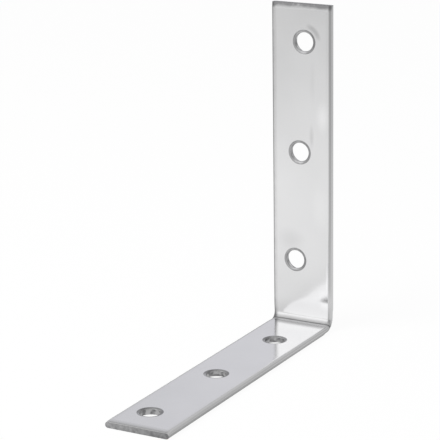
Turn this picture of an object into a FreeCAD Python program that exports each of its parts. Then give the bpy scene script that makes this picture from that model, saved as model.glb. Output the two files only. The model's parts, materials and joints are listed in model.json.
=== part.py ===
# Angle bracket. A flat steel strip with rolled, almost round long edges, sheared at both ends,
# punched with a slanting row of three holes in each leg and bent once to a right angle.
# It is one piece of metal. All sizes are in millimetres.
#
# Frame: X runs across the strip and Z is up. The foot lies on Z = 0 and reaches toward -Y from
# the upright. The origin is under the middle of the foot.

import FreeCAD, Part
import math
import os

Vector = FreeCAD.Vector

# The strip
upright_length = 100.0       # underside of the foot to the top end
foot_length = 100.0          # back of the upright to the front end
strip_width = 19.8
strip_thickness = 2.0
edge_radius = 0.9            # rolled long edges, a little short of a full round

# The bend
inner_bend_radius = 2.1
inside_draw_in = 0.15        # how far each side is pulled in, at the inside of the bend
outside_draw_in = 1.2        # and at the outside, where the metal stretches most
bend_reach = 3.0             # from the end of the bend to where the sides run straight again

# The punched holes. The punch enters from the shown side, so the rim there is drawn down into
# a smooth roll, and the metal breaks out a little wider at the back.
hole_radius = 2.86
hole_roll_run = 0.92         # width of the rolled rim
hole_roll_depth = 0.3
breakout_step = 0.45         # how much wider the hole is at the back
breakout_depth = 1.2
holes_in_row = 3

# The row in the upright
upright_first_hole = 21.35   # underside of the foot to the lowest hole
upright_last_margin = 11.26  # highest hole to the top end
upright_row_offset = -0.63   # middle of the row, across the strip
upright_row_slant = 1.6      # sideways step from one hole to the next, toward the end
upright_middle_shift = 0.05  # the middle hole's distance from even spacing, toward the end

# The row in the foot
foot_first_hole = 21.35      # back of the upright to the nearest hole
foot_last_margin = 10.84     # farthest hole to the front end
foot_row_offset = -0.84
foot_row_slant = -1.42
foot_middle_shift = -0.5

# The sheared ends. The blade comes from the shown side and drags its edge down.
end_roll_run = 2.0
end_roll_depth = 0.3

# A rolled edge is the part of a quarter ellipse that lies below the face. This is that part of
# its height, so that the roll meets the face at a slight angle, as a drawn edge does.
roll_share = 0.93

# Room that the cutting shapes keep outside the metal
cut_margin = 1.0

# Sections round the bend, and in the run-out at each side of it
bend_steps = 6
run_out_steps = 5

back = foot_length / 2
outer_bend_radius = inner_bend_radius + strip_thickness
bend_centre_y = back - outer_bend_radius
bend_centre_z = outer_bend_radius
straight_start = outer_bend_radius + bend_reach
half_bend_length = (inner_bend_radius + strip_thickness / 2) * math.pi / 4
roll_run_total = 1 - math.cos(math.asin(roll_share))


class Leg:
    # A leg is known by the point where its shown face would meet the back of the other leg, the
    # way toward its free end, and the way from its shown face into the metal.
    def __init__(self, start, toward_end, into_metal, length):
        self.start = start
        self.toward_end = toward_end
        self.into_metal = into_metal
        self.length = length

    def point(self, across, distance, depth=0.0):
        return self.start + Vector(across, 0, 0) + self.toward_end * distance + self.into_metal * depth


upright = Leg(Vector(0, back - strip_thickness, 0), Vector(0, 0, 1), Vector(0, 1, 0), upright_length)
foot = Leg(Vector(0, back, strip_thickness), Vector(0, -1, 0), Vector(0, 0, -1), foot_length)


def bend_point(across, angle, depth):
    # A point in the bend, at an angle from the upright's end of it and a depth below the shown face.
    radius = inner_bend_radius + depth
    return Vector(across, bend_centre_y + radius * math.cos(angle), bend_centre_z - radius * math.sin(angle))


def strip_section(place, squeeze=0.0):
    # The strip's outline as a wire, where place(across, depth) gives a point of it in space. The
    # corners are equal circles, and squeeze runs from 0 in the straight legs to 1 in mid-bend,
    # where both sides are narrower and the back is the narrowest.
    shown_half = strip_width / 2 - inside_draw_in * squeeze - edge_radius
    back_half = strip_width / 2 - outside_draw_in * squeeze - edge_radius
    side_drop = strip_thickness - 2 * edge_radius
    tilt = math.atan2(shown_half - back_half, side_drop)

    def corner(side, half, depth, start, end):
        # The arc of one corner circle between two directions, both measured from the way out of
        # the strip toward its back.
        def on_circle(turn):
            across = side * (half + edge_radius * math.cos(turn))
            return place(across, depth + edge_radius * math.sin(turn))
        return Part.Arc(on_circle(start), on_circle((start + end) / 2), on_circle(end)).toShape()

    shown_depth = edge_radius
    back_depth = strip_thickness - edge_radius
    up, down = -math.pi / 2, math.pi / 2
    corners = [
        corner(1, shown_half, shown_depth, up, tilt),
        corner(1, back_half, back_depth, tilt, down),
        corner(-1, back_half, back_depth, down, tilt),
        corner(-1, shown_half, shown_depth, tilt, up),
    ]
    edges = []
    for arc, following in zip(corners, corners[1:] + corners[:1]):
        edges.append(arc)
        edges.append(Part.makeLine(arc.valueAt(arc.LastParameter), following.valueAt(following.FirstParameter)))
    return Part.Wire(edges)


def squeeze_at(distance):
    # How far the bend has changed the section, at a distance from mid-bend along the mid-surface.
    return math.cos(math.pi / 2 * distance / (half_bend_length + bend_reach)) ** 2


def run_out_sections(leg):
    # From the end of the bend to where the leg's sides run straight again.
    sections = []
    for step in range(run_out_steps + 1):
        beyond = bend_reach * step / run_out_steps
        sections.append(strip_section(
            lambda across, depth: leg.point(across, outer_bend_radius + beyond, depth),
            squeeze_at(half_bend_length + beyond)))
    return sections


def bend_sections():
    # Round the bend itself, from the upright to the foot.
    sections = []
    for step in range(bend_steps + 1):
        share = step / bend_steps
        sections.append(strip_section(
            lambda across, depth: bend_point(across, math.pi / 2 * share, depth),
            squeeze_at(half_bend_length * (2 * share - 1))))
    return sections


def strip_solid():
    # The bent strip before punching, as one skin: straight, run-out, bend, run-out, straight.
    faces = Part.makeLoft(bend_sections(), False, False).Faces
    for leg in (upright, foot):
        faces += Part.makeLoft(run_out_sections(leg), False, False).Faces
        outline = strip_section(lambda across, depth: leg.point(across, straight_start, depth))
        faces += outline.extrude(leg.toward_end * (leg.length - straight_start)).Faces
        faces.append(Part.Face(strip_section(lambda across, depth: leg.point(across, leg.length, depth))))
    skin = Part.Shell(faces)
    skin.sewShape()
    return Part.Solid(skin)


def roll_edge(wall, run, depth):
    # A drawn-down edge in the XY plane, where X runs along the face and Y into the metal. It
    # leaves the wall at the given depth and reaches the face after the given run.
    rise = depth / roll_share
    length = run / roll_run_total
    ellipse = Part.Ellipse(Vector(wall + length, depth, 0), length, rise)
    return ellipse.toShape(math.pi, math.pi + math.asin(roll_share))


def closed_face(corners, curve=None):
    # A face in the XY plane from corner points in order. The curve, if any, joins the last
    # corner to the first.
    edges = [Part.makeLine(Vector(*a, 0), Vector(*b, 0)) for a, b in zip(corners, corners[1:])]
    edges.append(curve)
    return Part.Face(Part.Wire(Part.__sortEdges__(edges)))


def hole_cutter(leg, distance, across):
    # The shape of one punched hole: rolled rim, straight wall and wider break-out.
    rim = hole_radius + hole_roll_run
    breakout = hole_radius + breakout_step
    wall_end = strip_thickness - breakout_depth
    profile = closed_face(
        [(rim, 0), (rim, -cut_margin), (0, -cut_margin), (0, strip_thickness + cut_margin),
         (breakout, strip_thickness + cut_margin), (breakout, strip_thickness), (hole_radius, wall_end),
         (hole_radius, hole_roll_depth)],
        roll_edge(hole_radius, hole_roll_run, hole_roll_depth))
    cutter = profile.revolve(Vector(0, 0, 0), Vector(0, 1, 0), 360)
    cutter.Placement = FreeCAD.Placement(
        leg.point(across, distance), FreeCAD.Rotation(Vector(0, 1, 0), leg.into_metal))
    return cutter


def hole_row(leg, first, last_margin, offset, slant, middle_shift):
    # A slanting row of holes, evenly spread but for the ones between the first and the last.
    pitch = (leg.length - last_margin - first) / (holes_in_row - 1)
    cutters = []
    for index in range(holes_in_row):
        between = 0 < index < holes_in_row - 1
        distance = first + pitch * index + (middle_shift if between else 0)
        across = offset + slant * (index - (holes_in_row - 1) / 2)
        cutters.append(hole_cutter(leg, distance, across))
    return cutters


def end_cutter(leg):
    # What the shear drags off the shown side of a leg's end, as a bar across the whole strip.
    profile = closed_face(
        [(end_roll_run, 0), (end_roll_run, -cut_margin), (-cut_margin, -cut_margin),
         (-cut_margin, end_roll_depth), (0, end_roll_depth)],
        roll_edge(0, end_roll_run, end_roll_depth))
    half_length = strip_width / 2 + cut_margin
    bar = profile.extrude(Vector(0, 0, 2 * half_length))
    bar.translate(Vector(0, 0, -half_length))
    back_along = leg.toward_end * -1
    across = back_along.cross(leg.into_metal)
    bar.Placement = FreeCAD.Placement(
        leg.point(0, leg.length), FreeCAD.Rotation(back_along, leg.into_metal, across, "XYZ")) * bar.Placement
    return bar


cutters = [end_cutter(upright), end_cutter(foot)]
cutters += hole_row(upright, upright_first_hole, upright_last_margin,
                    upright_row_offset, upright_row_slant, upright_middle_shift)
cutters += hole_row(foot, foot_first_hole, foot_last_margin,
                    foot_row_offset, foot_row_slant, foot_middle_shift)
bracket = strip_solid().cut(cutters)

solid = bracket.Solids[0]
print("solids", len(bracket.Solids), "valid", bracket.isValid(), "faces", len(solid.Faces),
      "volume", round(solid.Volume, 2))
box = solid.BoundBox
print("box", [round(value, 3) for value in (box.XMin, box.YMin, box.ZMin, box.XMax, box.YMax, box.ZMax)])

os.makedirs("parts", exist_ok=True)
solid.exportStep("parts/angle_bracket.step")
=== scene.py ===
import bpy
import json
import math
from mathutils import Euler, Matrix, Vector
from mathutils.geometry import tessellate_polygon


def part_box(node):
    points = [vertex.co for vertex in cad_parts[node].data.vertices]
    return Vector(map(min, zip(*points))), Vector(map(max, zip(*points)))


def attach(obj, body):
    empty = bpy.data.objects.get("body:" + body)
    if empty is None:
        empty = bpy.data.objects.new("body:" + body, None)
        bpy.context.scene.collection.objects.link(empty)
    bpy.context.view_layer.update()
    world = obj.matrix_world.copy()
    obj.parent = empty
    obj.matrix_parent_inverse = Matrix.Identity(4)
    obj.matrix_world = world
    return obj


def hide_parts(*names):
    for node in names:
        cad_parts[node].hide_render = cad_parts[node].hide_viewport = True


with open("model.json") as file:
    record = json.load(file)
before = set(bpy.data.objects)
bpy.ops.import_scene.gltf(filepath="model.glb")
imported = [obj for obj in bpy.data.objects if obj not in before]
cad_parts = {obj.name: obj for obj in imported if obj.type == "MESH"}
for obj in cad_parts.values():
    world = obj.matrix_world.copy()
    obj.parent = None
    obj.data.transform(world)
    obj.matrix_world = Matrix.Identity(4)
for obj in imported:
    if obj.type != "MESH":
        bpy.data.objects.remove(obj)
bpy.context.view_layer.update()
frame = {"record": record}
print("frame loaded")

mm = 0.001
low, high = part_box("angle_bracket")

# the bent strip: its sizes as the solid has them, and how finely the mesh steps over it
strip = {
    "width": 19.8 * mm,
    "thickness": 2.0 * mm,
    "edgeRadius": 0.9 * mm,
    "bendRadius": 2.1 * mm,       # inside of the bend
    "insideDrawIn": 0.15 * mm,    # how far each side is pulled in, at the inside of the bend
    "outsideDrawIn": 1.2 * mm,    # and at its outside
    "runOut": 3.0 * mm,           # past the bend, until the sides are straight
    "endRollRun": 2.0 * mm,       # how far back from the sheared end the shown face rolls down
    "endRollDepth": 0.3 * mm,
    "rollShare": 0.93,            # how much of a quarter ellipse a drawn-down edge takes
    "cornerSteps": 12,
    "bendSteps": 24,
    "runOutSteps": 10,
    "endRollSteps": 12,
}

# how the shown face's normals lean, in degrees; its points stay where they are
leans = {
    "dish": {"upright": 0.6, "foot": 1.1},   # toward the bend's inside, the most beside it
    "dishReach": 6.0 * mm,
    "dishSpan": 1.6,              # how many reaches the mesh steps over
    "dishSteps": 16,
    "crown": 12.0,                # out, where the long edges start
    "crownReach": 0.9 * mm,
    "crownSteps": 6,
    # down, on the upright, each with the heights where it starts, is full, fades and ends
    "bows": [
        (4.2, 3.2 * mm, 4.8 * mm, 6.2 * mm, 10.0 * mm),
        (1.2, 3.0 * mm, 9.0 * mm, 16.0 * mm, 32.0 * mm),
    ],
}

# a station is a distance along the strip's middle line: 0 is mid-bend, plus runs up the
# upright and minus along the foot
backRadius = strip["bendRadius"] + strip["thickness"]
halfBend = (strip["bendRadius"] + strip["thickness"] / 2) * math.pi / 4
squeezeEnd = halfBend + strip["runOut"]
uprightEnd = halfBend + (high.z - low.z) - backRadius
footEnd = -(halfBend + (high.y - low.y) - backRadius)

rollStart = math.asin(strip["rollShare"])
stationNudge = 0.01 * mm          # steps over which a direction is taken
outlineNudge = 0.001 * mm


def place(station, across, depth):
    # the point at a station, across the strip, and depth below the shown face
    if station > halfBend:
        up = low.z + backRadius + station - halfBend
        return Vector((across, high.y - strip["thickness"] + depth, up))
    if station < -halfBend:
        forward = high.y - backRadius + station + halfBend
        return Vector((across, forward, low.z + strip["thickness"] - depth))
    angle = math.pi / 4 * (1 - station / halfBend)
    radius = strip["bendRadius"] + depth
    centreY, centreZ = high.y - backRadius, low.z + backRadius
    return Vector((across, centreY + radius * math.cos(angle), centreZ - radius * math.sin(angle)))


def squeezeAt(station):
    # how far the bend has narrowed the section, 1 at mid-bend
    return math.cos(math.pi / 2 * min(abs(station) / squeezeEnd, 1)) ** 2


def bendSide(station):
    # -1 on the foot, 1 on the upright, and in between round the bend
    return max(min(station / halfBend, 1), -1)


def fromEnd(station):
    return min(uprightEnd - station, station - footEnd)


def rollSpots(run, depth, steps):
    # a drawn-down edge, part of an ellipse: how far from the wall and below the face each spot
    # is, then its normal as parts away from the wall and below the face
    length, rise = run / (1 - math.cos(rollStart)), depth / strip["rollShare"]
    spots = []
    for step in range(steps + 1):
        turn = rollStart * (1 - step / steps)
        away, below = length * (1 - math.cos(turn)), depth - rise * math.sin(turn)
        spots.append((away, below, (-rise * math.cos(turn), -length * math.sin(turn))))
    return spots


def dropAt(station):
    # how far the shown face is drawn down near a sheared end
    run, depth = strip["endRollRun"], strip["endRollDepth"]
    if fromEnd(station) >= run:
        return 0.0
    length = run / (1 - math.cos(rollStart))
    share = 1 - max(fromEnd(station), 0) / length
    return depth - depth / strip["rollShare"] * math.sqrt(1 - share * share)


def sectionSpots(station):
    # the outline at a station: across, depth, and the outline's own direction there, starting
    # at the shown face's left edge and going over that face first
    squeeze, drop = squeezeAt(station), dropAt(station)
    radius, thick = strip["edgeRadius"], strip["thickness"]
    shown = strip["width"] / 2 - strip["insideDrawIn"] * squeeze - radius
    behind = strip["width"] / 2 - strip["outsideDrawIn"] * squeeze - radius
    tilt = math.atan2(shown - behind, thick - 2 * radius)
    flatten = (thick - drop) / thick
    steps = strip["cornerSteps"]
    spots = []

    def corner(side, half, depth, start, end):
        for step in range(steps + 1):
            turn = start + (end - start) * step / steps
            across = side * (half + radius * math.cos(turn))
            below = drop + (depth + radius * math.sin(turn)) * flatten
            onward = Vector((-side * math.sin(turn), math.cos(turn) * flatten)).normalized()
            spots.append((across, below, onward if end > start else -onward))

    toShown, toBack = -math.pi / 2, math.pi / 2   # where a corner's circle meets the two faces
    reach, count = leans["crownReach"], leans["crownSteps"]
    crown = [shown - reach * (step + 1) / count for step in range(count)]
    corner(-1, shown, radius, tilt, toShown)
    spots.extend((-across, drop, Vector((1, 0))) for across in crown)
    spots.extend((across, drop, Vector((1, 0))) for across in reversed(crown))
    corner(1, shown, radius, toShown, tilt)
    corner(1, behind, thick - radius, tilt, toBack)
    corner(-1, behind, thick - radius, toBack, tilt)
    return spots


def shownWay(station):
    # the way the shown face looks
    angle = math.pi / 4 * (1 - bendSide(station))
    return Vector((0, -math.cos(angle), math.sin(angle)))


def dishAt(station):
    # how far the shown face leans toward the bend's inside, positive on the upright
    beyond = max(abs(station) - halfBend, 0)
    degrees = leans["dish"]["upright" if station > 0 else "foot"]
    lean = math.radians(degrees) * math.exp(-beyond / leans["dishReach"])
    return lean * bendSide(station)


def crownAt(station, across):
    # how far the shown face leans out towards a long edge
    half = strip["width"] / 2 - strip["insideDrawIn"] * squeezeAt(station)
    flat = half - strip["edgeRadius"] - leans["crownReach"]
    share = min(max(abs(across) - flat, 0) / leans["crownReach"], 1)
    return math.copysign(math.tan(math.radians(leans["crown"])) * share ** 3, across)


def spotNormal(station, across, depth, onward, index):
    # outward normal from the outline's direction and how the same spot moves along the strip
    ahead, back = station + stationNudge, station - stationNudge
    after = sectionSpots(min(ahead, uprightEnd))[index]
    before = sectionSpots(max(back, footEnd))[index]
    along = place(ahead, after[0], after[1]) - place(back, before[0], before[1])
    beside = place(station, across + onward[0] * outlineNudge, depth + onward[1] * outlineNudge)
    normal = (beside - place(station, across, depth)).cross(along).normalized()
    facing = max(normal.dot(shownWay(station)), 0)
    normal = Matrix.Rotation(-dishAt(station) * facing, 3, "X") @ normal
    return (normal + Vector((crownAt(station, across) * facing, 0, 0))).normalized()


def stations():
    # where the sections are, from the foot's end to the upright's
    roll = rollSpots(strip["endRollRun"], strip["endRollDepth"], strip["endRollSteps"])
    nearEnd = [away for away, below, slope in reversed(roll)]
    count = strip["runOutSteps"]
    beside = [halfBend + strip["runOut"] * step / count for step in range(1, count + 1)]
    count = leans["dishSteps"]
    dishStep = leans["dishReach"] * leans["dishSpan"] / count
    beside += [squeezeEnd + dishStep * step for step in range(1, count + 1)]
    count = strip["bendSteps"]
    bend = [halfBend * (2 * step / count - 1) for step in range(count + 1)]
    foot = [footEnd + away for away in nearEnd] + [-away for away in reversed(beside)]
    upright = beside + [uprightEnd - away for away in reversed(nearEnd)]
    return foot + bend + upright


# where the polish is dulled, and where shade is painted into it; what adds up to more than 1 counts
# as 1
wear = {
    # the shown face is darker near the sheared ends
    "topEnd": 1.15,
    "topReach": 1.6 * mm,         # back from the sheared end
    "frontEnd": 0.1,
    "frontReach": 1.0 * mm,
    "endFade": 1.5,               # power by which it fades there
    # painted shade over the bend, the most at its middle
    "bend": 0.12,
    "bendFade": 0.7,              # power by which the bend's painted shade and roughness fade from its middle
    "crease": 0.95,               # painted shade along the fine crease inside the bend
    "creaseAt": -0.75 * mm,
    "creaseWidth": 0.3 * mm,
    # painted shade on the long edges where they are bent, and on both sides of that
    "bendEdge": {"left": 0.95, "right": 0.2},
    "bendEdgeWidth": 0.8 * mm,
    "nearEdge": {"left": 0.7, "right": 0.1},
    "nearEdgeWidth": 4.0 * mm,
    "uprightLeftEdge": 0.42,      # painted shade on the upright's left edge, all the way up
    "footEdge": 0.15,             # painted shade on the foot's sides and underside, near the table
    "rim": 1.0,                   # the rolled rims of the holes
    "rimInside": 0.55,            # share of it left at the wall
    "rimStart": 6.0,              # how fast it comes in from the rim's outer edge
    "rimSwing": 0.5,              # how much painted shade swings round the hole
    "rimDarkAt": {"upright": (30.0, 1), "foot": (0.0, 2)},   # degrees where that painted shade is darkest, and how often round
}


def hump(distance, width):
    return math.exp(-(distance / width) ** 2)


def bentAt(station):
    # how far the metal is bent, 1 at mid-bend
    return max(1 - abs(station) / halfBend, 0) ** wear["bendFade"]


# how dark the polish is made at a spot: wear, and painted shade
def wearAndShadeAt(station, across, depth):
    onUpright = station > 0
    side = "left" if across < 0 else "right"
    half = strip["width"] / 2 - strip["insideDrawIn"] * squeezeAt(station)
    edge = strip["edgeRadius"] + leans["crownReach"]
    nearEdge = max((abs(across) - half + edge) / edge, 0)
    onFace = max(1 - (depth - dropAt(station)) / strip["edgeRadius"], 0)
    end, reach = wear["topEnd"], wear["topReach"]
    if not onUpright:
        end, reach = wear["frontEnd"], wear["frontReach"]
    wornAndShaded = end * onFace * max(1 - (fromEnd(station) / reach) ** wear["endFade"], 0)
    wornAndShaded += wear["bend"] * bentAt(station)
    wornAndShaded += nearEdge * wear["bendEdge"][side] * hump(station, wear["bendEdgeWidth"])
    wornAndShaded += nearEdge * wear["nearEdge"][side] * hump(station, wear["nearEdgeWidth"])
    if onUpright and side == "left":
        wornAndShaded += nearEdge * wear["uprightLeftEdge"]
    if depth < strip["edgeRadius"]:
        wornAndShaded += wear["crease"] * hump(station - wear["creaseAt"], wear["creaseWidth"])
    elif not onUpright:
        wornAndShaded += wear["footEdge"]
    return min(wornAndShaded, 1)


faceSlot, wallSlot, endSlot = 0, 1, 2   # the bracket's finishes, in the order of its materials


class Skin:
    # the mesh as it grows: points, and faces with a normal at each corner and a finish
    def __init__(self):
        self.points = []
        self.wornAndShaded = []
        self.bent = []
        self.faces = []
        self.normals = []
        self.slots = []

    def point(self, where, wornAndShaded=0.0, bent=0.0):
        self.points.append(Vector(where))
        self.wornAndShaded.append(wornAndShaded)
        self.bent.append(bent)
        return len(self.points) - 1

    def face(self, corners, normals, slot=faceSlot):
        first, second, third = (self.points[corner] for corner in corners[:3])
        if (second - first).cross(third - first).dot(normals[0]) < 0:
            corners, normals = corners[::-1], normals[::-1]
        self.faces.append(corners)
        self.normals.extend(normals)
        self.slots.append(slot)

    def object(self, name, materials):
        mesh = bpy.data.meshes.new(name)
        mesh.from_pydata(self.points, [], self.faces)
        for material in materials:
            mesh.materials.append(material)
        for polygon, slot in zip(mesh.polygons, self.slots):
            polygon.material_index = slot
            polygon.use_smooth = True
        mesh.attributes.new("wear", "FLOAT", "POINT").data.foreach_set("value", self.wornAndShaded)
        mesh.attributes.new("bent", "FLOAT", "POINT").data.foreach_set("value", self.bent)
        mesh.normals_split_custom_set(self.normals)
        made = bpy.data.objects.new(name, mesh)
        bpy.context.scene.collection.objects.link(made)
        return made


def addStrip(skin):
    # all but the sheared ends and the long flat faces that the holes go through; returns the
    # corners of those faces, by leg and whether it is the shown face, and both ends' outlines
    line = stations()
    grid, normals = [], []
    for station in line:
        spots = sectionSpots(station)
        grid.append([
            skin.point(place(station, across, depth), wearAndShadeAt(station, across, depth), bentAt(station))
            for across, depth, onward in spots])
        normals.append([
            spotNormal(station, across, depth, onward, index)
            for index, (across, depth, onward) in enumerate(spots)])
    count = len(grid[0])
    # the outline's steps over the middle of the shown face and over the back; only the punched
    # stretch of each leg has sections further apart than the strip is wide
    overShown = strip["cornerSteps"] + leans["crownSteps"]
    overBack = overShown + leans["crownSteps"] + 2 * strip["cornerSteps"] + 2
    openFaces = {}
    for row in range(len(line) - 1):
        isPunched = line[row + 1] - line[row] > strip["width"]
        for step in range(count):
            after = (step + 1) % count
            around = ((row, step), (row, after), (row + 1, after), (row + 1, step))
            corners = [grid[i][j] for i, j in around]
            if isPunched and step in (overShown, overBack):
                leg = "upright" if line[row] > 0 else "foot"
                openFaces[leg, step == overShown] = corners
            else:
                skin.face(corners, [normals[i][j] for i, j in around])
    return openFaces, grid[0], grid[-1]


# the punched holes; their places, wall radius and wall length come from the record's mounts
punch = {
    "rollRun": 0.92 * mm,
    "rollDepth": 0.3 * mm,
    "breakoutStep": 0.45 * mm,
    "around": 96,
    "rollSteps": 10,
}

bores = [mount for mount in frame["record"]["mounts"] if mount["kind"] == "bore"]

# for each leg a way along it, and the way from its shown face into the metal
legs = {
    "upright": (Vector((0, 0, 1)), Vector((0, 1, 0))),
    "foot": (Vector((0, 1, 0)), Vector((0, 0, -1))),
}


def outFromHole(turn, along):
    return Vector((math.cos(turn), 0, 0)) + along * math.sin(turn)


def addRings(skin, centre, leg, rings):
    # rings of points round a hole's axis; each ring is radius, depth, wear, and how much painted
    # shade swings round it
    along, into = legs[leg]
    degrees, waves = wear["rimDarkAt"][leg]
    darkest = math.radians(degrees)
    made = []
    for radius, depth, wornAndShaded, swing in rings:
        ring = []
        for step in range(punch["around"]):
            turn = 2 * math.pi * step / punch["around"]
            here = wornAndShaded * (1 + swing * math.cos(waves * (turn - darkest)))
            where = centre + outFromHole(turn, along) * radius + into * depth
            ring.append(skin.point(where, min(here, 1)))
        made.append(ring)
    return made


def bridge(skin, leg, ringA, ringB, slopeA, slopeB, slot):
    # joins two rings; a slope is the normal's parts out from the axis and into the metal
    along, into = legs[leg]
    count = punch["around"]
    for step in range(count):
        after = (step + 1) % count
        corners = [ringA[step], ringA[after], ringB[after], ringB[step]]
        normals = []
        for corner, slope in ((step, slopeA), (after, slopeA), (after, slopeB), (step, slopeB)):
            out = outFromHole(2 * math.pi * corner / count, along)
            normals.append((out * slope[0] + into * slope[1]).normalized())
        skin.face(corners, normals, slot)


def addHole(skin, centre, leg, radius, wallLength):
    # rolled rim, wall and break-out; returns the rings on the shown and the back face
    rings, slopes = [], []
    for away, below, slope in rollSpots(punch["rollRun"], punch["rollDepth"], punch["rollSteps"]):
        share = away / punch["rollRun"]
        inside = wear["rimInside"] + (1 - wear["rimInside"]) * share
        wornAndShaded = wear["rim"] * inside * min(wear["rimStart"] * (1 - share), 1.0)
        rings.append((radius + away, below, wornAndShaded, wear["rimSwing"] * (1 - share)))
        slopes.append(slope)
    wallEnd = punch["rollDepth"] + wallLength
    rings.append((radius, wallEnd, 0.0, 0.0))
    rings.append((radius + punch["breakoutStep"], strip["thickness"], 0.0, 0.0))
    made = addRings(skin, centre, leg, rings)
    for step in range(punch["rollSteps"]):
        bridge(skin, leg, made[step], made[step + 1], slopes[step], slopes[step + 1], faceSlot)
    straight = (-1, 0)
    breakout = (wallEnd - strip["thickness"], punch["breakoutStep"])
    bridge(skin, leg, made[-3], made[-2], straight, straight, wallSlot)
    bridge(skin, leg, made[-2], made[-1], breakout, breakout, wallSlot)
    return made[0], made[-1]


def addHoles(skin):
    # returns, by leg, each hole's rings on the shown and the back face
    rings = {leg: [] for leg in legs}
    for bore in bores:
        centre = Vector(bore["pos_m"])
        leg = "upright" if abs(bore["axis"][1]) > abs(bore["axis"][2]) else "foot"
        if leg == "upright":
            centre.y = high.y - strip["thickness"]
        else:
            centre.z = low.z + strip["thickness"]
        radius, wallLength = bore["dims"]["r_mm"] * mm, bore["dims"]["length_mm"] * mm
        rings[leg].append(addHole(skin, centre, leg, radius, wallLength))
    return rings


def fillAround(skin, outline, holes, normal):
    # a flat face with round holes in it, as triangles
    loops = [outline] + holes
    flat = [index for loop in loops for index in loop]
    for triangle in tessellate_polygon([[skin.points[index] for index in loop] for loop in loops]):
        skin.face([flat[corner] for corner in triangle], [normal] * 3)


def makeBracket(materials):
    skin = Skin()
    openFaces, frontEnd, topEnd = addStrip(skin)
    rings = addHoles(skin)
    for (leg, isShown), corners in openFaces.items():
        into = legs[leg][1]
        holes = [shown if isShown else behind for shown, behind in rings[leg]]
        fillAround(skin, corners, holes, -into if isShown else into)
    skin.face(frontEnd, [Vector((0, -1, 0))] * len(frontEnd), endSlot)
    skin.face(topEnd, [Vector((0, 0, 1))] * len(topEnd), endSlot)
    return skin.object("bracket", materials)


class Value:
    # a node's output, so that sums on it add Math nodes
    def __init__(self, graph, socket):
        self.graph = graph
        self.socket = socket

    def maths(self, operation, *inputs):
        return self.graph.node("ShaderNodeMath", {"operation": operation}, dict(enumerate(inputs)))[0]

    def __add__(self, other):
        return self.maths("ADD", self, other)

    def __radd__(self, other):
        return self.maths("ADD", other, self)

    def __sub__(self, other):
        return self.maths("SUBTRACT", self, other)

    def __rsub__(self, other):
        return self.maths("SUBTRACT", other, self)

    def __mul__(self, other):
        return self.maths("MULTIPLY", self, other)

    def __rmul__(self, other):
        return self.maths("MULTIPLY", other, self)

    def __truediv__(self, other):
        return self.maths("DIVIDE", self, other)

    def __rtruediv__(self, other):
        return self.maths("DIVIDE", other, self)

    def __pow__(self, other):
        return self.maths("POWER", self, other)

    def __abs__(self):
        return self.maths("ABSOLUTE", self)

    def __gt__(self, other):
        return self.maths("GREATER_THAN", self, other)

    def atLeast(self, least):
        return self.maths("MAXIMUM", self, least)


class Made:
    # a node that was just added; its outputs are read by name or number
    def __init__(self, graph, node):
        self.graph = graph
        self.node = node

    def __getitem__(self, key):
        return Value(self.graph, self.node.outputs[key])


class Graph:
    # adds nodes to a material's or the world's tree
    def __init__(self, owner):
        owner.use_nodes = True
        self.tree = owner.node_tree
        self.tree.nodes.clear()

    def node(self, kind, settings=None, inputs=None):
        node = self.tree.nodes.new(kind)
        for key, value in (settings or {}).items():
            if key == "stops":
                self.setStops(node.color_ramp, value)
            else:
                setattr(node, key, value)
        for key, value in (inputs or {}).items():
            if isinstance(value, Value):
                self.tree.links.new(value.socket, node.inputs[key])
            else:
                node.inputs[key].default_value = value
        return Made(self, node)

    def vector(self, operation, inputs):
        return self.node("ShaderNodeVectorMath", {"operation": operation}, inputs)

    def setStops(self, ramp, stops):
        while len(ramp.elements) > 1:
            ramp.elements.remove(ramp.elements[-1])
        ramp.elements[0].position, ramp.elements[0].color = stops[0]
        for position, color in stops[1:]:
            ramp.elements.new(position).color = color


def noise(graph, spot, scale, detail):
    return graph.node("ShaderNodeTexNoise", {}, {
        "Vector": spot, "Scale": scale, "Detail": detail})["Fac"]


def fade(graph, value, start, end, atStart, atEnd):
    # goes smoothly from one level to another as the value goes from start to end
    return graph.node("ShaderNodeMapRange", {"interpolation_type": "SMOOTHSTEP"}, {
        "Value": value, "From Min": start, "From Max": end, "To Min": atStart, "To Max": atEnd})[0]


def shades(graph, value, stops):
    # a colour between those of the stops
    return graph.node("ShaderNodeValToRGB", {
        "stops": [(at, color + (1,)) for at, color in stops]}, {"Fac": value})["Color"]


def metal(graph, tint, roughness, normal):
    surface = graph.node("ShaderNodeBsdfPrincipled", {}, {
        "Base Color": tint, "Metallic": 1.0, "Roughness": roughness, "Normal": normal})[0]
    graph.node("ShaderNodeOutputMaterial", {}, {"Surface": surface})


# the polished faces and rolled edges; a scale is the number of a noise's waves in a metre
polish = {
    "steel": (0.84, 0.84, 0.845),
    "roughness": 0.14,
    "wornSteel": (0.3, 0.3, 0.305),
    "wornRoughness": 0.2,         # added where it is worn and where shade is painted
    "bentRoughness": 0.22,        # added in the bend, where the metal is stretched
    "cloudScale": 60.0,
    "cloudDetail": 3.0,
    "cloudShade": 0.12,           # how much its shade drifts
    "cloudRoughness": 0.04,
    "waveScale": 110.0,
    "waveDetail": 1.0,
    "waveHeight": 0.06 * mm,
    "waveStrength": 0.25,
    "fleckScale": 450.0,          # flecks break up the wear and the painted shade
    "fleckDetail": 2.0,
    "fleckLeast": 0.4,
    "fleckSwing": 1.2,
}

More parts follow.
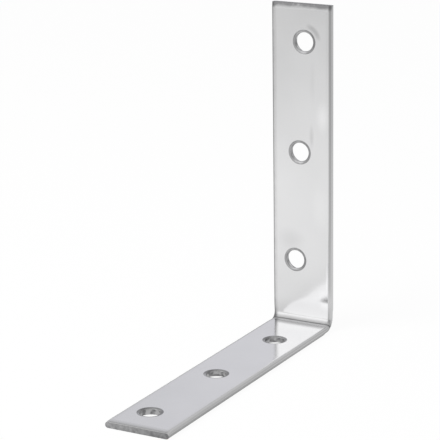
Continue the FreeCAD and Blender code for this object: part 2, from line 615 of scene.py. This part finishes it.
# soft marks and painted light on the shown face of the upright: across, up, half width, half height,
# change
marksAndPaintedLight = [
    (3.34 * mm, 60.2 * mm, 1.1 * mm, 4.8 * mm, -0.14),
    (3.7 * mm, 77.0 * mm, 1.3 * mm, 9.0 * mm, -0.04),
    (7.0 * mm, 66.3 * mm, 2.8 * mm, 6.5 * mm, 0.12),
    (-3.8 * mm, 27.5 * mm, 6.0 * mm, 5.0 * mm, -0.09),
    # a painted highlight, a thin line inside the right edge
    (8.3 * mm, 17.0 * mm, 0.4 * mm, 7.0 * mm, 0.1),
    (6.3 * mm, 39.0 * mm, 4.0 * mm, 9.0 * mm, 0.05),
    # painted light that fades the dark reflection of a foot hole, low on the right
    (8.2 * mm, 9.5 * mm, 3.6 * mm, 4.2 * mm, 0.16),
]
patchDepth = 1.0 * mm              # how far below that face they fade out

# a short curved rub mark beside the top hole
rubMark = {
    "radius": 4.9 * mm,
    "width": 1.2 * mm,            # from its middle to where it has faded
    "toward": 45.0,               # degrees, from across to up
    "spread": 42.0,               # degrees to each side of that
    "change": -0.24,
}


def softPatch(graph, spot, centre, size):
    # 1 at the centre of a soft oval patch, 0 at its rim
    apart = graph.vector("SUBTRACT", {0: spot, 1: centre})[0]
    scaled = graph.vector("DIVIDE", {0: apart, 1: size})[0]
    away = graph.vector("LENGTH", {0: scaled})["Value"]
    return fade(graph, away, 0.0, 1.0, 1.0, 0.0)


def rubbed(graph, spot, centre):
    # 1 along a short arc round a hole's centre
    apart = graph.vector("SUBTRACT", {0: spot, 1: centre})[0]
    away = graph.vector("LENGTH", {0: apart})["Value"]
    toward = math.radians(rubMark["toward"])
    middle = (math.cos(toward), 0, math.sin(toward))
    along = graph.vector("DOT_PRODUCT", {0: apart, 1: middle})["Value"] / away
    line = fade(graph, abs(away - rubMark["radius"]), 0.0, rubMark["width"], 1.0, 0.0)
    ends = fade(graph, along, math.cos(math.radians(rubMark["spread"])), 1.0, 0.0, 1.0)
    return line * ends


def bowed(graph, spot):
    # the normal, leaning down a little on the lower part of the upright's shown face
    up = graph.node("ShaderNodeSeparateXYZ", {}, {0: spot})["Z"]
    lean = 0
    for degrees, start, full, fading, end in leans["bows"]:
        rise = fade(graph, up, start, full, 0.0, 1.0)
        fall = fade(graph, up, fading, end, 1.0, 0.0)
        lean = rise * fall * math.tan(math.radians(degrees)) + lean
    normal = graph.node("ShaderNodeNewGeometry")["Normal"]
    facing = graph.vector("DOT_PRODUCT", {0: normal, 1: (0, -1, 0)})["Value"].atLeast(0.0)
    down = graph.vector("SCALE", {0: (0, 0, -1), "Scale": lean * facing ** 2})[0]
    leaning = graph.vector("ADD", {0: normal, 1: down})[0]
    return graph.vector("NORMALIZE", {0: leaning})[0]


def brightSteel():
    material = bpy.data.materials.new("brightSteel")
    graph = Graph(material)
    spot = graph.node("ShaderNodeTexCoord")["Object"]
    wornAndShaded = graph.node("ShaderNodeAttribute", {"attribute_name": "wear"})["Fac"]
    bent = graph.node("ShaderNodeAttribute", {"attribute_name": "bent"})["Fac"]
    cloud = noise(graph, spot, polish["cloudScale"], polish["cloudDetail"]) - 0.5   # round 0
    wave = noise(graph, spot, polish["waveScale"], polish["waveDetail"])
    fleck = noise(graph, spot, polish["fleckScale"], polish["fleckDetail"])
    bump = graph.node("ShaderNodeBump", {}, {
        "Strength": polish["waveStrength"], "Distance": polish["waveHeight"],
        "Height": wave, "Normal": bowed(graph, spot)})["Normal"]
    wornAndShaded = wornAndShaded * (polish["fleckLeast"] + fleck * polish["fleckSwing"])
    # the polish, darkened by wear and by painted shade
    plain = shades(graph, wornAndShaded, [(0.0, polish["steel"]), (1.0, polish["wornSteel"])])
    face = high.y - strip["thickness"]
    shade = 1 + cloud * polish["cloudShade"]
    for across, up, halfWidth, halfHeight, change in marksAndPaintedLight:
        patch = softPatch(graph, spot, (across, face, up), (halfWidth, patchDepth, halfHeight))
        shade = shade + patch * change
    topHole = max((bore["pos_m"] for bore in bores), key=lambda where: where[2])
    shade = shade + rubbed(graph, spot, (topHole[0], face, topHole[2])) * rubMark["change"]
    tint = graph.vector("SCALE", {0: plain, "Scale": shade})[0]
    rough = polish["roughness"] + cloud * polish["cloudRoughness"] + wornAndShaded * polish["wornRoughness"]
    metal(graph, tint, rough + bent * polish["bentRoughness"], bump)
    return material


# the walls and break-outs of the holes; a ramp is where the noise gives dark and where bright
wall = {
    "dark": (0.38, 0.38, 0.39),
    "bright": (0.95, 0.95, 0.96),
    "ramp": (0.38, 0.62),
    "roughness": 0.2,
    "roughnessSwing": 0.1,
    "scale": 640.0,
    "detail": 1.0,
    "bumpHeight": 0.02 * mm,
    "bumpStrength": 0.3,
}


def punchedSteel():
    material = bpy.data.materials.new("punchedSteel")
    graph = Graph(material)
    spot = graph.node("ShaderNodeTexCoord")["Object"]
    mottle = noise(graph, spot, wall["scale"], wall["detail"])
    bump = graph.node("ShaderNodeBump", {}, {
        "Strength": wall["bumpStrength"], "Distance": wall["bumpHeight"],
        "Height": mottle})["Normal"]
    tint = shades(graph, mottle, zip(wall["ramp"], (wall["dark"], wall["bright"])))
    metal(graph, tint, wall["roughness"] + mottle * wall["roughnessSwing"], bump)
    return material


# the sheared ends, with flecks in their colour and grain in their surface
sheared = {
    "dark": (0.31, 0.31, 0.315),
    "steel": (0.48, 0.48, 0.485),
    "ramp": (0.35, 0.65),
    "fleckScale": 700.0,
    "fleckDetail": 3.0,
    "roughness": 0.42,
    "roughnessSwing": 0.1,
    "grainScale": 3000.0,
    "grainDetail": 4.0,
    "grainHeight": 0.04 * mm,
    "grainStrength": 0.6,
}


def shearedSteel():
    material = bpy.data.materials.new("shearedSteel")
    graph = Graph(material)
    spot = graph.node("ShaderNodeTexCoord")["Object"]
    grain = noise(graph, spot, sheared["grainScale"], sheared["grainDetail"])
    fleck = noise(graph, spot, sheared["fleckScale"], sheared["fleckDetail"])
    bump = graph.node("ShaderNodeBump", {}, {
        "Strength": sheared["grainStrength"], "Distance": sheared["grainHeight"],
        "Height": grain})["Normal"]
    tint = shades(graph, fleck, zip(sheared["ramp"], (sheared["dark"], sheared["steel"])))
    metal(graph, tint, sheared["roughness"] + grain * sheared["roughnessSwing"], bump)
    return material


# the room as the metal sees it; the camera sees white
room = {
    "level": 0.30,                # away from the lights
    # the way to each light, how tight it is, how bright, and its colour
    "lights": [
        ((-0.42, -0.86, 0.275), 12.0, 0.80, (1.0, 1.0, 1.0)),
        ((-0.43, -0.90, -0.02), 25.0, 0.18, (1.0, 1.0, 1.0)),
        ((-0.43, -0.45, 0.78), 5.0, 0.42, (1.0, 1.0, 1.0)),
        ((-0.40, 0.86, 0.30), 16.0, 0.38, (0.97, 0.97, 1.06)),
        ((-0.95, 0.1, 0.3), 6.0, 0.3, (1.0, 1.0, 1.0)),
        ((0.15, 0.82, 0.55), 8.0, 0.27, (1.0, 1.0, 1.0)),
        ((0.45, -0.10, 0.89), 10.0, 0.45, (1.0, 1.0, 1.0)),
        ((0.90, 0.35, 0.25), 6.0, 0.3, (1.0, 1.0, 1.0)),
    ],
}


def makeRoom():
    world = bpy.data.worlds.new("studio")
    bpy.context.scene.world = world
    graph = Graph(world)
    way = graph.node("ShaderNodeTexCoord")["Generated"]
    color = (room["level"],) * 3
    for toward, tightness, gain, tint in room["lights"]:
        facing = graph.vector("DOT_PRODUCT", {0: way, 1: Vector(toward).normalized()})["Value"]
        light = facing.atLeast(0.0) ** tightness * gain
        glow = graph.vector("SCALE", {0: tint, "Scale": light})[0]
        color = graph.vector("ADD", {0: color, 1: glow})[0]
    inMetal = graph.node("ShaderNodeBackground", {}, {"Color": color, "Strength": 1.0})[0]
    white = graph.node("ShaderNodeBackground", {}, {"Color": (1, 1, 1, 1), "Strength": 1.0})[0]
    ray = graph.node("ShaderNodeLightPath")
    seen = ray["Is Camera Ray"] + ray["Is Transmission Ray"]
    mixed = graph.node("ShaderNodeMixShader", {}, {0: seen, 1: inMetal, 2: white})[0]
    graph.node("ShaderNodeOutputWorld", {}, {"Surface": mixed})


# the pale table; the levels are what the metal sees of it, a painted pool of light with the part's
# painted shadow, and the camera sees white
table = {
    "half": 1.5,                  # metres, from its middle to each side
    "gap": 0.05 * mm,             # between it and the foot
    "color": (0.9, 0.9, 0.9, 1),
    # painted light and shade: the table brighter on the left, darker on the right
    "left": 0.92,
    "right": 0.55,
    "rightReach": 15 * mm,        # past the part's right side, where the right level is full
    "backLeft": 0.5,              # shares left behind the part; painted shade below 1, painted light above
    "backRight": 1.4,
    "backLeftFrom": (32 * mm, 58 * mm),     # where such a share starts and is full
    "backRightFrom": (-20 * mm, 70 * mm),
    "poolCentre": (-70 * mm, -75 * mm, 0),  # the brightest place of the painted pool of light
    "poolReach": 450 * mm,
    "poolFade": 0.72,             # share left that far away
    "besideLeft": 0.93,           # painted shadow beside the part: shares left there
    "besideRight": 0.75,
    "besideReach": 10 * mm,
    "touching": 0.62,             # painted shadow: share of that left in the last few millimetres at the right
    "touchingReach": 4 * mm,
    "underPart": 0.5,             # painted shadow straight under it, as seen in the foot's holes
    "shadowKept": 0.05,           # how much of the real shadow the camera sees
}


def between(share, atNone, atAll):
    # a level between two others, as the share goes from 0 to 1
    return atNone + share * (atAll - atNone)


def tableLevel(graph):
    # how bright the metal sees the table, by place: painted light and painted shadow
    spot = graph.node("ShaderNodeTexCoord")["Object"]
    parts = graph.node("ShaderNodeSeparateXYZ", {}, {0: spot})
    toRight = fade(graph, parts["X"], low.x, high.x + table["rightReach"], 0.0, 1.0)
    side = between(toRight, table["left"], table["right"])
    fromPool = graph.vector("DISTANCE", {0: spot, 1: table["poolCentre"]})["Value"]
    pool = graph.node("ShaderNodeMapRange", {}, {
        "Value": fromPool, "From Min": 0.0, "From Max": table["poolReach"],
        "To Min": 1.0, "To Max": table["poolFade"]})[0]
    behindLeft = fade(graph, parts["Y"], *table["backLeftFrom"], 1.0, table["backLeft"])
    behindRight = fade(graph, parts["Y"], *table["backRightFrom"], 1.0, table["backRight"])
    behind = between(toRight, behindLeft, behindRight)
    awayX = (abs(parts["X"]) - high.x).atLeast(0.0)
    awayY = (abs(parts["Y"]) - high.y).atLeast(0.0)
    away = (awayX * awayX + awayY * awayY) ** 0.5
    outside = away > 0.0
    nearest = between(toRight, table["besideLeft"], table["besideRight"])
    beside = 1 - (1 - nearest) * fade(graph, away, 0.0, table["besideReach"], 1.0, 0.0)
    touching = fade(graph, away, 0.0, table["touchingReach"], table["touching"], 1.0)
    beside = beside * (1 - toRight * (1 - touching))
    return side * pool * behind * (outside * beside + (1 - outside) * table["underPart"])


def paleTable():
    material = bpy.data.materials.new("paleTable")
    graph = Graph(material)
    pale = graph.node("ShaderNodeBsdfDiffuse", {}, {"Color": table["color"]})[0]
    # the painted light and shadow, as a glow that only glossy rays see
    grey = graph.vector("SCALE", {0: (1, 1, 1), "Scale": tableLevel(graph)})[0]
    glow = graph.node("ShaderNodeEmission", {}, {"Color": grey, "Strength": 1.0})[0]
    white = graph.node("ShaderNodeEmission", {}, {"Color": (1, 1, 1, 1), "Strength": 1.0})[0]
    ray = graph.node("ShaderNodeLightPath")
    inMetal = graph.node("ShaderNodeMixShader", {}, {0: ray["Is Glossy Ray"], 1: pale, 2: glow})[0]
    seen = ray["Is Camera Ray"] * (1 - table["shadowKept"]) + ray["Is Transmission Ray"]
    surface = graph.node("ShaderNodeMixShader", {}, {0: seen, 1: inMetal, 2: white})[0]
    graph.node("ShaderNodeOutputMaterial", {}, {"Surface": surface})
    return material


def makeFloor():
    mesh = bpy.data.meshes.new("floor")
    half = table["half"]
    corners = [(-half, -half, 0), (half, -half, 0), (half, half, 0), (-half, half, 0)]
    mesh.from_pydata(corners, [], [(0, 1, 2, 3)])
    floor = bpy.data.objects.new("floor", mesh)
    floor.location.z = -table["gap"]
    bpy.context.scene.collection.objects.link(floor)
    mesh.materials.append(paleTable())


# a soft lamp for the table and the part's shadow on it; the metal doesn't mirror it
keyLamp = {
    "place": (-0.35, -0.45, 0.6),
    "toward": (0, 0, 0.03),
    "side": 0.5,                  # metres, of its square
    "power": 5,
}


def makeKeyLamp():
    data = bpy.data.lights.new("keyLamp", "AREA")
    data.shape = "SQUARE"
    data.size = keyLamp["side"]
    data.energy = keyLamp["power"]
    lamp = bpy.data.objects.new("keyLamp", data)
    lamp.location = keyLamp["place"]
    way = Vector(keyLamp["toward"]) - Vector(keyLamp["place"])
    lamp.rotation_euler = way.to_track_quat("-Z", "Y").to_euler()
    lamp.visible_glossy = False
    bpy.context.scene.collection.objects.link(lamp)


# the photo's own viewpoint
view = {
    "place": (268.87 * mm, -484.52 * mm, 204.22 * mm),
    "turn": (74.103, 0.832, 28.926),   # degrees about X, Y and Z
    "lens": 167.89,                    # in millimetres, as the sensor's width is
    "sensor": 36,
    "clipStart": 10 * mm,
}


def makeCamera():
    data = bpy.data.cameras.new("camera")
    data.sensor_width = view["sensor"]
    data.lens = view["lens"]
    data.clip_start = view["clipStart"]
    camera = bpy.data.objects.new("camera", data)
    camera.location = view["place"]
    camera.rotation_euler = Euler([math.radians(degrees) for degrees in view["turn"]], "XYZ")
    bpy.context.scene.collection.objects.link(camera)
    bpy.context.scene.camera = camera


steels = [brightSteel(), punchedSteel(), shearedSteel()]   # faceSlot, wallSlot, endSlot
print("steels made")

bracket = makeBracket(steels)
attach(bracket, "root")
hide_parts("angle_bracket")
print("bracket made:", len(bracket.data.polygons), "faces")

makeRoom()
makeFloor()
makeKeyLamp()
makeCamera()
bpy.context.scene.view_settings.view_transform = "Standard"
print("studio made")
